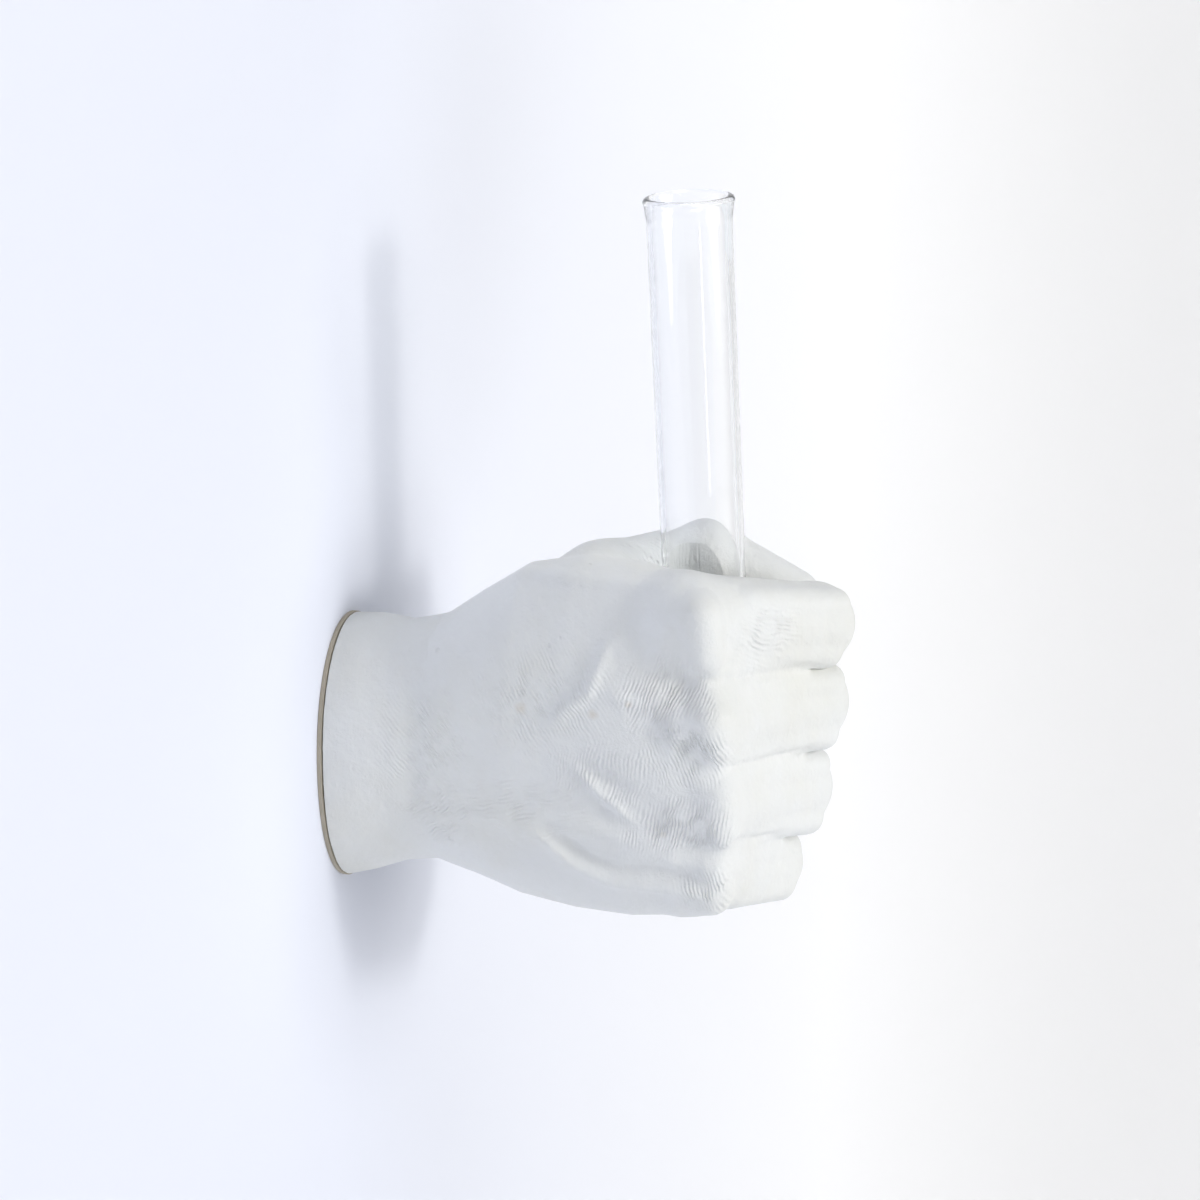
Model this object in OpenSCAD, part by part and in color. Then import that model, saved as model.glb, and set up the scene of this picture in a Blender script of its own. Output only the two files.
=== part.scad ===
// Life-size cast fist on a thin wall plate, gripping a removable glass test tube for flowers.
// The wall is the plane y = 0, the room is at negative y, and z is up.
// The back of the hand faces -x, the curled fingers and the thumb close on the +x side.

/* [Glass tube] */
// Outer diameter of the tube
tube_od = 20; // [19:0.1:20.4]
// Thickness of the glass wall
tube_wall = 1.2; // [1:0.1:1.6]
// Length of the tube from its round bottom to its lip
tube_length = 150; // [130:1:170]
// Outer diameter of the beaded lip
lip_od = 21.4; // [21:0.1:23]
// How far the tube goes down into the fist, measured to its round bottom
tube_depth = 62; // [56:1:66]
// How far the tube leans towards the wall at its top, in degrees
tube_lean = 3; // [2:0.5:4]
// Gap left round the tube in its socket
socket_gap = 0.3; // [0.2:0.05:0.4]

/* [Hand] */
// Distance from the back plate to the front of the curled fingers
hand_reach = 120; // [116:1:126]
// Depth of the shadow groove between the casting and its back plate
groove_depth = 0.8; // [0.5:0.1:1.2]
// Width of the shadow groove between the casting and its back plate
groove_width = 0.4; // [0.3:0.1:0.8]

/* [Back plate] */
// Thickness of the back plate
plate_thickness = 1; // [0.8:0.1:2]
// Diameter of the keyhole's round entry
keyhole_entry = 9; // [8:0.5:10]
// Width of the keyhole's narrow slot
keyhole_slot = 4.5; // [4:0.25:5]
// Distance that the plate drops on its wall screw
keyhole_drop = 8; // [7:0.5:9]

/* [Fastenings] */
// Diameter of the screws that hold the plate to the casting
screw_d = 3; // [2.5:0.5:3]
// Length of those screws, head included
screw_length = 10; // [8:1:11]
// Outer diameter of the brass inserts in the casting
insert_od = 5; // [5:0.2:6]
// Length of the brass inserts
insert_length = 9; // [8:0.5:10]

/* [Hidden] */

// Directions round the hand, steps along the wrist and palm, and steps over the end of the fist
around = 90;
palm_steps = 15;
fist_steps = 30;
// Softness of the grooves where two forms meet
groove_blend = 1.1;
// Halvings that find the palm's surface along a ray
halvings = 11;
// The furthest that any surface lies from the hand's core
far = 90;

// The reach of the hand below at its drawn size, to which hand_reach is compared
drawn_reach = 120;
hand_scale = hand_reach / drawn_reach;

// Joints of the four fingers at the drawn size, from the index finger to the little finger
knuckles = [[-8, -86, 42.4], [-9, -90, 18.9], [-8, -91.5, -2], [-4, -89, -21.5]];
middle_joints = [[27, -109.2, 33.2], [29, -106.9, 12.2], [28, -103.4, -9.9], [25, -99.2, -29.5]];
end_joints = [[40, -88, 26], [42, -86.5, 6], [40.5, -84.5, -13.5], [36.5, -81.5, -29.5]];
finger_tips = [[27, -70, 23], [28, -69, 4], [27, -69, -13.5], [25, -68.5, -27.5]];
// Radii of each finger at its four points
finger_radii = [
    [11.6, 9.8, 8.8, 7.6],
    [11.2, 10.7, 9.4, 8],
    [10.9, 10.9, 9.2, 7.8],
    [10.7, 8.8, 7.6, 6.8]
];

// Flesh pressed out between the end joints and between the finger tips, and its radii
end_flesh = [[37.5, -87, 22], [34.5, -82.5, -26]];
end_flesh_radii = [8, 6.6];
tip_flesh = [[26, -71, 20], [24, -70, -25]];
tip_flesh_radii = [8, 6.8];
// Flesh between each two neighbouring fingers from their knuckles outwards, and its radii
web_flesh = [[[-8, -89, 30.2], [17, -102, 25]], [[-9, -91.5, 8.4], [18, -101, 3]], [[-7, -91, -11.5], [14, -98, -19]]];
web_flesh_radii = [[9.6, 8], [9.4, 8.4], [8.8, 7.6]];
// The palm's pads that the finger tips press on, and their radii
palm_pads = [[19, -63, 24], [17, -64, -22]];
palm_pad_radii = [12, 12.5];

// Thumb, from its root at the wrist to its tip, and its radii
thumb_joints = [[6, -31, 19], [15, -60, 39.8], [36, -80, 44], [38.5, -100.5, 34.5]];
thumb_radii = [14.5, 12.2, 9.8, 8.4];

// The heel of the hand under the little finger, and its radii
heel_joints = [[5, -36, -11], [9, -80, -20.3]];
heel_radii = [16, 17];

// The closed inside of the fist round the tube, and its radii
grip_joints = [[20, -86, -16], [22, -86, 26]];
grip_radii = [15, 14];

// The hand's core, a line inside the wrist and palm that ends in the middle of the fist
core_start = [0, -7, 2];
core_end = [8, -75, 9];

// Sections of the wrist and palm, each [y, centre x, centre z, half thickness, half height, squareness]
palm_sections = [
    [-7, 0.2, 1.3, 21, 32.9, 2.1],
    [-15, 0.2, 2.6, 19.8, 30.9, 2.1],
    [-24, 0, 4.2, 19.4, 30.6, 2.2],
    [-34, -0.5, 7, 19.6, 35.6, 2.3],
    [-46, -1.2, 9.2, 19.8, 41.6, 2.4],
    [-60, -1.8, 9.9, 19.2, 44, 2.5],
    [-74, -2.4, 9.8, 18.2, 43.8, 2.6],
    [-86, -3.2, 10, 16.2, 41.5, 2.6],
    [-94, -4.4, 10.4, 12.4, 37, 2.6],
    [-99, -5.6, 10.4, 7, 29, 2.4]
];
// The wrist's own outline where it meets the back plate
wrist_half_thickness = 21.4;
wrist_half_height = 33.7;
wrist_squareness = 2.1;
// The palm ends at its last section
palm_end = palm_sections[len(palm_sections) - 1][0];
// A short slope that leads out of the shadow groove
groove_step = 0.4;

// Where the tube's axis crosses the level of z = 0
tube_place = [17.3, -87.7, 0] * hand_scale;
// Level of the tube's round bottom
tube_bottom = 49 - tube_depth;
tube_r = tube_od / 2;
tube_bore_r = tube_r - tube_wall;
socket_r = tube_r + socket_gap;
lip_r = lip_od / 2;
lip_bead = 1.1;
// The socket is cut up to well above the fist
socket_top = 90;

// Fastenings
screw_r = screw_d / 2;
screw_head_r = screw_d;
screw_head_depth = screw_head_r - screw_r;
screw_places = [[-13.5, 1], [13.5, 1]] * hand_scale;
fit_gap = 0.05;
insert_r = insert_od / 2;
insert_sink = max(0.2, screw_head_depth - plate_thickness + fit_gap);
pilot_end = 1;

// Keyholes, one above the other
keyhole_places = [[0, 14], [0, -21]] * hand_scale;
pocket_depth = 9;
pocket_margin = 1.5;

// A circle drawn with rounded-square corners for squareness over 2
function bend(c, s) = sign(c) * pow(abs(c), 2 / s);

// One direction round the core, tipped from square to it at 0 towards the knuckles at 90
function ray(turn, tip) = [cos(tip) * cos(turn), -sin(tip), cos(tip) * sin(turn)];

// How far a ray from o along d runs before it leaves a ball
function leave_ball(o, d, c, r) = let (w = c - o, b = w * d, h = b * b - w * w + r * r)
    h > 0 ? b + sqrt(h) : 0;

// How far it runs before it leaves an endless round bar through p along n
function leave_bar(o, d, p, n, r) = let (
    m = o - p,
    b = (n * n) * (d * m) - (n * m) * (n * d),
    a = n * n - (n * d) * (n * d),
    h = b * b - a * ((n * n) * (m * m - r * r) - (n * m) * (n * m))
) h > 0 ? (sqrt(h) - b) / a : 0;

// Where along n, as a share of it, the ray stands after a run t
function share_along(o, d, p, n, t) = (n * (o + d * t - p)) / (n * n);

// How far it runs before it leaves a bone: a tapering bar with round ends
function leave_bone(o, d, p, q, rp, rq) = let (
    n = q - p,
    guess = share_along(o, d, p, n, leave_bar(o, d, p, n, (rp + rq) / 2)),
    r = rp + (rq - rp) * min(1, max(0, guess)),
    t = leave_bar(o, d, p, n, r),
    at = share_along(o, d, p, n, t)
) t > 0 && at > 0 && at < 1 ? t : max(leave_ball(o, d, p, rp), leave_ball(o, d, q, rq));

// How far it runs through each bone of a chain
function leave_chain(o, d, joints, radii) = [
    for (k = [0 : len(joints) - 2]) leave_bone(o, d, joints[k], joints[k + 1], radii[k], radii[k + 1])
];

// One measure of the palm's section at depth y
function at_depth(y, column) = lookup(-y, [for (s = palm_sections) [-s[0], s[column]]]);

// Whether a point lies inside the palm
function in_palm(p) = let (
    across = abs(p[0] - at_depth(p[1], 1)) / at_depth(p[1], 3),
    up = abs(p[2] - at_depth(p[1], 2)) / at_depth(p[1], 4),
    s = at_depth(p[1], 5)
) p[1] > palm_end && pow(across, s) + pow(up, s) < 1;

// How far the ray runs before it leaves the palm, found by halving
function leave_palm(o, d, low = 0, high = far, left = halvings) = let (middle = (low + high) / 2)
    left == 0 ? middle
    : in_palm(o + d * middle) ? leave_palm(o, d, middle, high, left - 1)
    : leave_palm(o, d, low, middle, left - 1);

// The largest of a list of runs, eased where several are nearly as large
function eased_max(runs) = let (top = max(runs), total = [for (t = runs) exp((t - top) / groove_blend)])
    top + groove_blend * ln(total * [for (t = total) 1]);

// The hand's surface on one ray: the furthest that palm, heel, grip, pads, fingers and thumb reach
function skin_point(o, d) = o + d * eased_max(concat(
    [leave_palm(o, d)],
    leave_chain(o, d, heel_joints, heel_radii),
    leave_chain(o, d, grip_joints, grip_radii),
    leave_chain(o, d, palm_pads, palm_pad_radii),
    leave_chain(o, d, end_flesh, end_flesh_radii),
    leave_chain(o, d, tip_flesh, tip_flesh_radii),
    leave_chain(o, d, thumb_joints, thumb_radii),
    [for (w = [0 : 2]) each leave_chain(o, d, web_flesh[w], web_flesh_radii[w])],
    [for (f = [0 : 3])
        each leave_chain(o, d, [knuckles[f], middle_joints[f], end_joints[f], finger_tips[f]], finger_radii[f])]
));

// A ring of surface points round one place on the core
function hand_ring(o, tip) = [for (i = [0 : around - 1]) skin_point(o, ray(360 * i / around, tip))];

// The wrist's outline at a given inset, as a flat ring at depth y
function wrist_ring(y, inset) = [
    for (i = [0 : around - 1])
        let (c = bend(cos(360 * i / around), wrist_squareness), s = bend(sin(360 * i / around), wrist_squareness))
            [(wrist_half_thickness - inset) * c, y, (wrist_half_height - inset) * s]
];

// Skin over a row of rings, with a flat start and a point at the end
module skin(rings, point) {
    n = len(rings[0]);
    m = len(rings);
    sides = [
        for (k = [0 : m - 2], i = [0 : n - 1], half = [0, 1])
            half == 0
                ? [k * n + i, (k + 1) * n + i, k * n + (i + 1) % n]
                : [k * n + (i + 1) % n, (k + 1) * n + i, (k + 1) * n + (i + 1) % n]
    ];
    start = [[for (i = [0 : n - 1]) i]];
    close = [for (i = [0 : n - 1]) [(m - 1) * n + i, m * n, (m - 1) * n + (i + 1) % n]];
    polyhedron(points = concat([for (r = rings, p = r) p], [point]), faces = concat(sides, start, close));
}

// Wrist, palm, fingers and thumb in one skin, with the shadow groove at the back
module drawn_hand() {
    groove = groove_depth / hand_scale;
    groove_out = groove_width / hand_scale;
    skin(
        concat(
            [wrist_ring(0, groove), wrist_ring(-groove_out, groove), wrist_ring(-groove_out - groove_step, 0)],
            [for (k = [0 : palm_steps - 1]) hand_ring(core_start + (core_end - core_start) * k / palm_steps, 0)],
            [for (k = [0 : fist_steps - 1]) hand_ring(core_end, 90 * k / fist_steps)]
        ),
        skin_point(core_end, ray(0, 90))
    );
}

// The whole fist, brought to its real size as one form
module fist() {
    scale(hand_scale) drawn_hand();
}

// Moves the tube and its socket onto the leaning axis through the fist
module on_tube_axis() {
    translate(tube_place) rotate([-tube_lean, 0, 0]) children();
}

// The round-bottomed socket for the tube
module socket() {
    on_tube_axis() {
        translate([0, 0, tube_bottom + tube_r]) sphere(r = socket_r, $fn = 64);
        translate([0, 0, tube_bottom + tube_r])
            cylinder(r = socket_r, h = socket_top - tube_bottom - tube_r, $fn = 64);
    }
}

// Outline of one keyhole, with its slot upwards
module keyhole_outline(grow = 0) {
    circle(d = keyhole_entry + 2 * grow, $fn = 48);
    translate([0, keyhole_drop]) circle(d = keyhole_slot + 2 * grow, $fn = 48);
    translate([-keyhole_slot / 2 - grow, 0]) square([keyhole_slot + 2 * grow, keyhole_drop]);
}

// Turns a flat drawing into a slab that stands on the wall side, from y down to y - depth
module slab(y, depth) {
    translate([0, y, 0]) rotate([90, 0, 0]) linear_extrude(depth) children();
}

// Room behind one keyhole for the head of the wall screw
module keyhole_pocket(place) {
    wide = keyhole_entry + 2 * pocket_margin;
    translate([place[0], 0, place[1]]) slab(1, pocket_depth + 1) {
        circle(d = wide, $fn = 48);
        translate([0, keyhole_drop]) circle(d = wide, $fn = 48);
        translate([-wide / 2, 0]) square([wide, keyhole_drop]);
    }
}

// Drilled hole for one insert, with room past its end for the screw's point
module insert_hole(place) {
    translate([place[0], 1, place[1]]) rotate([90, 0, 0])
        cylinder(r = insert_r + fit_gap, h = insert_length + insert_sink + 1, $fn = 48);
    translate([place[0], 0, place[1]]) rotate([90, 0, 0])
        cylinder(r = screw_r + fit_gap, h = insert_length + insert_sink + pilot_end, $fn = 48);
}

module hand_casting() {
    color("whitesmoke") translate([0, -plate_thickness, 0]) difference() {
        fist();
        translate([0, plate_thickness, 0]) socket();
        for (p = keyhole_places) keyhole_pocket(p);
        for (p = screw_places) insert_hole(p);
    }
}

module back_plate() {
    color("darkkhaki") difference() {
        slab(0, plate_thickness) polygon([for (p = wrist_ring(0, 0)) [p[0], p[2]] * hand_scale]);
        for (p = keyhole_places) {
            translate([p[0], 0, p[1]]) slab(1, plate_thickness + 2) keyhole_outline();
        }
        for (p = screw_places) {
            translate([p[0], 0, p[1]]) rotate([90, 0, 0]) screw_form(fit_gap, 1);
        }
    }
}

// A countersunk screw along +z, its flat head at z = 0, with room added for a hole
module screw_form(room = 0, past = 0) {
    translate([0, 0, -past]) cylinder(r = screw_r + room, h = screw_length + past, $fn = 48);
    cylinder(r1 = screw_head_r + room, r2 = screw_r + room, h = screw_head_depth, $fn = 48);
    if (past > 0) {
        translate([0, 0, -past]) cylinder(r = screw_head_r + room, h = past, $fn = 48);
    }
}

module plate_screws() {
    color("silver") for (p = screw_places) {
        translate([p[0], 0, p[1]]) rotate([90, 0, 0]) difference() {
            screw_form();
            cross_recess();
        }
    }
}

// Cross-shaped recess in a screw's head
module cross_recess() {
    arm = screw_head_r;
    for (a = [0, 90]) {
        rotate([0, 0, a]) translate([-arm / 2, -arm / 10, -1]) cube([arm, arm / 5, 1 + arm / 3]);
    }
}

module brass_inserts() {
    color("goldenrod") for (p = screw_places) {
        translate([p[0], -plate_thickness - insert_sink, p[1]]) rotate([90, 0, 0]) difference() {
            cylinder(r = insert_r, h = insert_length, $fn = 48);
            translate([0, 0, -1]) cylinder(r = screw_r + fit_gap, h = insert_length + 2, $fn = 48);
        }
    }
}

// Half section of the tube: round bottom, straight wall and a beaded lip
function arc(c, r, a0, a1, n) = [for (i = [0 : n]) c + r * [cos(a0 + (a1 - a0) * i / n), sin(a0 + (a1 - a0) * i / n)]];

module glass_tube() {
    bead_r = lip_bead;
    bead = [lip_r - bead_r, tube_length - bead_r];
    outline = concat(
        [[0, 0]],
        [for (p = arc([0, tube_r], tube_r, -90, 0, 12)) if (p[0] > 0.01) p],
        [[tube_r, tube_length - 2.6 * bead_r]],
        arc(bead, bead_r, -30, 150, 10),
        [[tube_bore_r, tube_length - 3 * bead_r]],
        [for (p = arc([0, tube_r], tube_bore_r, 0, -90, 12)) if (p[0] > 0.01) p],
        [[0, tube_wall]]
    );
    color("lightcyan", 0.5) on_tube_axis() translate([0, 0, tube_bottom])
        rotate_extrude($fn = 96) polygon(outline);
}

hand_casting();
back_plate();
plate_screws();
brass_inserts();
glass_tube();
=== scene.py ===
"""A cast fist on a wall that grips a glass flower tube, dressed over its fixed frame."""

import logging
import math
from dataclasses import dataclass
from enum import Enum
from typing import NamedTuple, Sequence

import bmesh
import bpy
import numpy as np
from mathutils import Matrix, Vector

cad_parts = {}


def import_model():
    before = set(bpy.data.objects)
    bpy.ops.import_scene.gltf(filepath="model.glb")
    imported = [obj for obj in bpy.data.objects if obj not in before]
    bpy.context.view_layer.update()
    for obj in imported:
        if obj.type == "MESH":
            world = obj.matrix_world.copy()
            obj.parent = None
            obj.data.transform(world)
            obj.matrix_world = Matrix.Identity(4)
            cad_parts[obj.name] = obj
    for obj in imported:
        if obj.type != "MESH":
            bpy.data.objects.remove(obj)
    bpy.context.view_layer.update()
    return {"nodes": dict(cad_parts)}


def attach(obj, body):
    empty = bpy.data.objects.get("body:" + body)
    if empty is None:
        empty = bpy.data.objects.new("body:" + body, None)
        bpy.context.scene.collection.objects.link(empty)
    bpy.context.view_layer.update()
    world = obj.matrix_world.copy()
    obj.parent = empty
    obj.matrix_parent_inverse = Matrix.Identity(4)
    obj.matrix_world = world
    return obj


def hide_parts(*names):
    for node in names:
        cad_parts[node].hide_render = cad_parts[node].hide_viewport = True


log = logging.getLogger("fist_vase")

MM = 0.001
"""One millimetre in the frame's metres."""

Point = tuple[float, float, float]
"""A place or a direction in the frame's axes; places are in millimetres."""

Colour = tuple[float, float, float]
"""Shares of red, green and blue."""

Socket = bpy.types.NodeSocket
"""An input or an output of a shader node."""


# Small helpers for objects and meshes


def deselect_all() -> None:
    """Leaves edit mode and selects nothing, so that an operator acts on new pieces alone."""
    if bpy.context.object is not None and bpy.context.object.mode != "OBJECT":
        bpy.ops.object.mode_set(mode="OBJECT")
    bpy.ops.object.select_all(action="DESELECT")


def make_active(piece: bpy.types.Object) -> bpy.types.Object:
    """Selects one object alone and makes it the active one.

    Args:
        piece: The object to work on.

    Returns:
        The same object.
    """
    deselect_all()
    piece.select_set(True)
    bpy.context.view_layer.objects.active = piece
    return piece


def edit_all(piece: bpy.types.Object) -> None:
    """Starts to edit an object with its whole mesh selected.

    Args:
        piece: The object to edit.
    """
    make_active(piece)
    bpy.ops.object.mode_set(mode="EDIT")
    bpy.ops.mesh.select_all(action="SELECT")


def named(name: str) -> bpy.types.Object:
    """Gives the active object and its mesh a name.

    Args:
        name: The new name.

    Returns:
        The active object.
    """
    piece = bpy.context.object
    piece.name = name
    piece.data.name = name
    return piece


def settle(piece: bpy.types.Object) -> bpy.types.Object:
    """Puts an object's place, turn and size into its mesh.

    Args:
        piece: The object to settle.

    Returns:
        The same object, now at the origin.
    """
    make_active(piece)
    bpy.ops.object.transform_apply(location=True, rotation=True, scale=True)
    return piece


def apply_modifiers(piece: bpy.types.Object) -> None:
    """Applies every modifier of an object in order.

    Args:
        piece: The object whose modifiers are applied.
    """
    make_active(piece)
    for modifier in list(piece.modifiers):
        bpy.ops.object.modifier_apply(modifier=modifier.name)


def join(pieces: Sequence[bpy.types.Object], name: str) -> bpy.types.Object:
    """Joins several meshes into one object.

    Args:
        pieces: The objects to join.
        name: The name of the result.

    Returns:
        The joined object.
    """
    deselect_all()
    for piece in pieces:
        piece.select_set(True)
    bpy.context.view_layer.objects.active = pieces[0]
    bpy.ops.object.join()
    return named(name)


class Change(Enum):
    """What one closed form does to another."""

    ADD = "UNION"
    TAKE_AWAY = "DIFFERENCE"


def change_form(piece: bpy.types.Object, tool: bpy.types.Object, change: Change) -> None:
    """Adds a closed form to an object or takes it away, and uses the form up.

    Args:
        piece: The object to change.
        tool: The closed form.
        change: Whether it is added or taken away.
    """
    step = piece.modifiers.new("change", "BOOLEAN")
    step.operation, step.solver, step.object = change.value, "EXACT", tool
    apply_modifiers(piece)
    bpy.data.objects.remove(tool)


def recalculate_normals(piece: bpy.types.Object) -> None:
    """Merges doubles and turns every face outwards.

    Args:
        piece: The object to mend.
    """
    edit_all(piece)
    bpy.ops.mesh.remove_doubles(threshold=0.01 * MM)
    bpy.ops.mesh.normals_make_consistent(inside=False)
    bpy.ops.object.mode_set(mode="OBJECT")


def close_holes(piece: bpy.types.Object) -> None:
    """Fills any hole that is left in a mesh.

    Args:
        piece: The object to close.
    """
    mesh = bmesh.new()
    mesh.from_mesh(piece.data)
    rims = [edge for edge in mesh.edges if edge.is_boundary]
    if rims:
        bmesh.ops.holes_fill(mesh, edges=rims, sides=0)
    mesh.to_mesh(piece.data)
    mesh.free()


def vertices_of(piece: bpy.types.Object) -> np.ndarray:
    """Reads an object's points.

    Args:
        piece: A mesh object.

    Returns:
        An array of points in metres, one row each.
    """
    points = np.empty(len(piece.data.vertices) * 3)
    piece.data.vertices.foreach_get("co", points)
    return points.reshape(-1, 3)


def write_vertices(piece: bpy.types.Object, points: np.ndarray) -> None:
    """Writes an object's points back.

    Args:
        piece: A mesh object.
        points: Its new points in metres, one row each.
    """
    piece.data.vertices.foreach_set("co", points.ravel())
    piece.data.update()


def smooth_step(t: float | np.ndarray) -> float | np.ndarray:
    """Eases a share, so that it starts and ends softly.

    Args:
        t: Shares from 0 to 1.

    Returns:
        The eased shares.
    """
    return t * t * (3 - 2 * t)


# Shader helpers


class NodeSketch:
    """Adds and joins the nodes of one tree with short calls."""

    SET_FIRST = ("operation", "data_type")
    """Properties that decide which inputs a node has."""

    MEASURES = ("LENGTH", "DISTANCE", "DOT_PRODUCT")
    """Sums on vectors that give a number."""

    def __init__(self, tree: bpy.types.NodeTree) -> None:
        """Starts work on a tree.

        Args:
            tree: The tree that gets the nodes.
        """
        self.tree = tree

    def feed(self, target: Socket, value: object) -> None:
        """Gives an input its value, by a link when that is another node's output.

        Args:
            target: The input.
            value: A plain value or an output.
        """
        if isinstance(value, bpy.types.NodeSocket):
            self.tree.links.new(value, target)
        else:
            target.default_value = value

    def set_inputs(self, node: bpy.types.Node, **values: object) -> None:
        """Sets a node's inputs and properties by name.

        Args:
            node: The node to set.
            **values: Input names with spaces as underscores, or property names, and their values.
        """
        for key, value in values.items():
            title = key.replace("_", " ")
            if title in node.inputs:
                self.feed(node.inputs[title], value)
            elif hasattr(node, key):
                setattr(node, key, value)
            else:
                raise KeyError(f"{node.bl_idname} has no {key}")

    def add(self, kind: str, **values: object) -> bpy.types.Node:
        """Adds a node with its inputs and properties.

        Args:
            kind: The node's type, without the ShaderNode prefix.
            **values: What set_inputs takes.

        Returns:
            The new node.
        """
        node = self.tree.nodes.new("ShaderNode" + kind)
        for key in self.SET_FIRST:
            if key in values:
                setattr(node, key, values.pop(key))
        self.set_inputs(node, **values)
        return node

    def number(self, operation: str, *parts: Socket | float) -> Socket:
        """Works one number out of others.

        Args:
            operation: The sum to do.
            *parts: Its numbers in order.

        Returns:
            The output that holds the result.
        """
        node = self.add("Math", operation=operation)
        for target, part in zip(node.inputs, parts):
            self.feed(target, part)
        return node.outputs[0]

    def vector(self, operation: str, *parts: Socket | Sequence[float]) -> Socket:
        """Works a vector, or a vector's measure, out of other vectors.

        Args:
            operation: The sum to do.
            *parts: Its vectors in order.

        Returns:
            The output that holds the result.
        """
        node = self.add("VectorMath", operation=operation)
        for target, part in zip(node.inputs, parts):
            self.feed(target, part)
        return node.outputs["Value" if operation in self.MEASURES else "Vector"]

    def total(self, parts: Sequence[Socket]) -> Socket:
        """Adds numbers together.

        Args:
            parts: The outputs to add.

        Returns:
            The output that holds their sum.
        """
        done = parts[0]
        for part in parts[1:]:
            done = self.number("ADD", done, part)
        return done

    def noise(self, where: Socket, scale: float, detail: float, roughness: float = 0.5) -> Socket:
        """Adds soft noise.

        Args:
            where: The coordinates.
            scale: How many clouds there are in a metre, roughly.
            detail: How many finer layers it has.
            roughness: How strong those are.

        Returns:
            The output that holds the noise's level.
        """
        cloud = self.add("TexNoise", Vector=where, Scale=scale, Detail=detail, Roughness=roughness)
        return cloud.outputs["Fac"]

    def ranged(self, value: Socket, low: float = 0, high: float = 1, first: float = 0,
               last: float = 1) -> Socket:
        """Maps a value from one range to another and holds it there.

        Args:
            value: The value.
            low: Where its range starts.
            high: Where its range ends.
            first: The result at the start.
            last: The result at the end.

        Returns:
            The output that holds the result.
        """
        span = self.add("MapRange", Value=value, From_Min=low, From_Max=high, To_Min=first, To_Max=last)
        return span.outputs[0]

    def mixed(self, share: Socket, first: Socket | Colour, second: Colour) -> Socket:
        """Mixes two colours.

        Args:
            share: How much of the second colour there is.
            first: The first colour, or an output that holds it.
            second: The second colour.

        Returns:
            The output that holds the mixed colour.
        """
        mix = self.add("Mix", data_type="RGBA", Factor=share)
        self.feed(mix.inputs["A"], first if isinstance(first, bpy.types.NodeSocket) else (*first, 1))
        self.feed(mix.inputs["B"], (*second, 1))
        return mix.outputs["Result"]

    def seen_rays(self) -> Socket:
        """Tells rays from the camera, also by way of glass and shiny surfaces, from all others.

        Returns:
            The output that is 1 for such rays.
        """
        ray = self.add("LightPath")
        seen = ray.outputs["Is Camera Ray"]
        for title in ("Is Glossy Ray", "Is Transmission Ray"):
            seen = self.number("MAXIMUM", seen, ray.outputs[title])
        return seen


class Effect(NodeSketch):
    """A shared shader effect: a node group with named number inputs and one number output."""

    def __init__(self, name: str, inputs: dict[str, float], output: str) -> None:
        """Makes the group with its sockets.

        Args:
            name: The group's name.
            inputs: Names and defaults of its inputs.
            output: The name of its output.
        """
        super().__init__(bpy.data.node_groups.new(name, "ShaderNodeTree"))
        sockets = self.tree.interface
        for title, default in inputs.items():
            socket = sockets.new_socket(name=title, in_out="INPUT", socket_type="NodeSocketFloat")
            socket.default_value = default
        sockets.new_socket(name=output, in_out="OUTPUT", socket_type="NodeSocketFloat")
        self.source = self.tree.nodes.new("NodeGroupInput")
        self.result = self.tree.nodes.new("NodeGroupOutput")
        self.where = self.add("TexCoord").outputs["Object"]

    def three(self, part: str) -> Socket:
        """Joins three inputs, such as Centre X, Centre Y and Centre Z, to a vector.

        Args:
            part: What the inputs' names start with.

        Returns:
            The output that holds the vector.
        """
        values = {axis: self.source.outputs[f"{part} {axis}"] for axis in "XYZ"}
        return self.add("CombineXYZ", **values).outputs[0]

    def give(self, value: Socket) -> None:
        """Puts a value out of the group."""
        self.feed(self.result.inputs[0], value)


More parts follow.
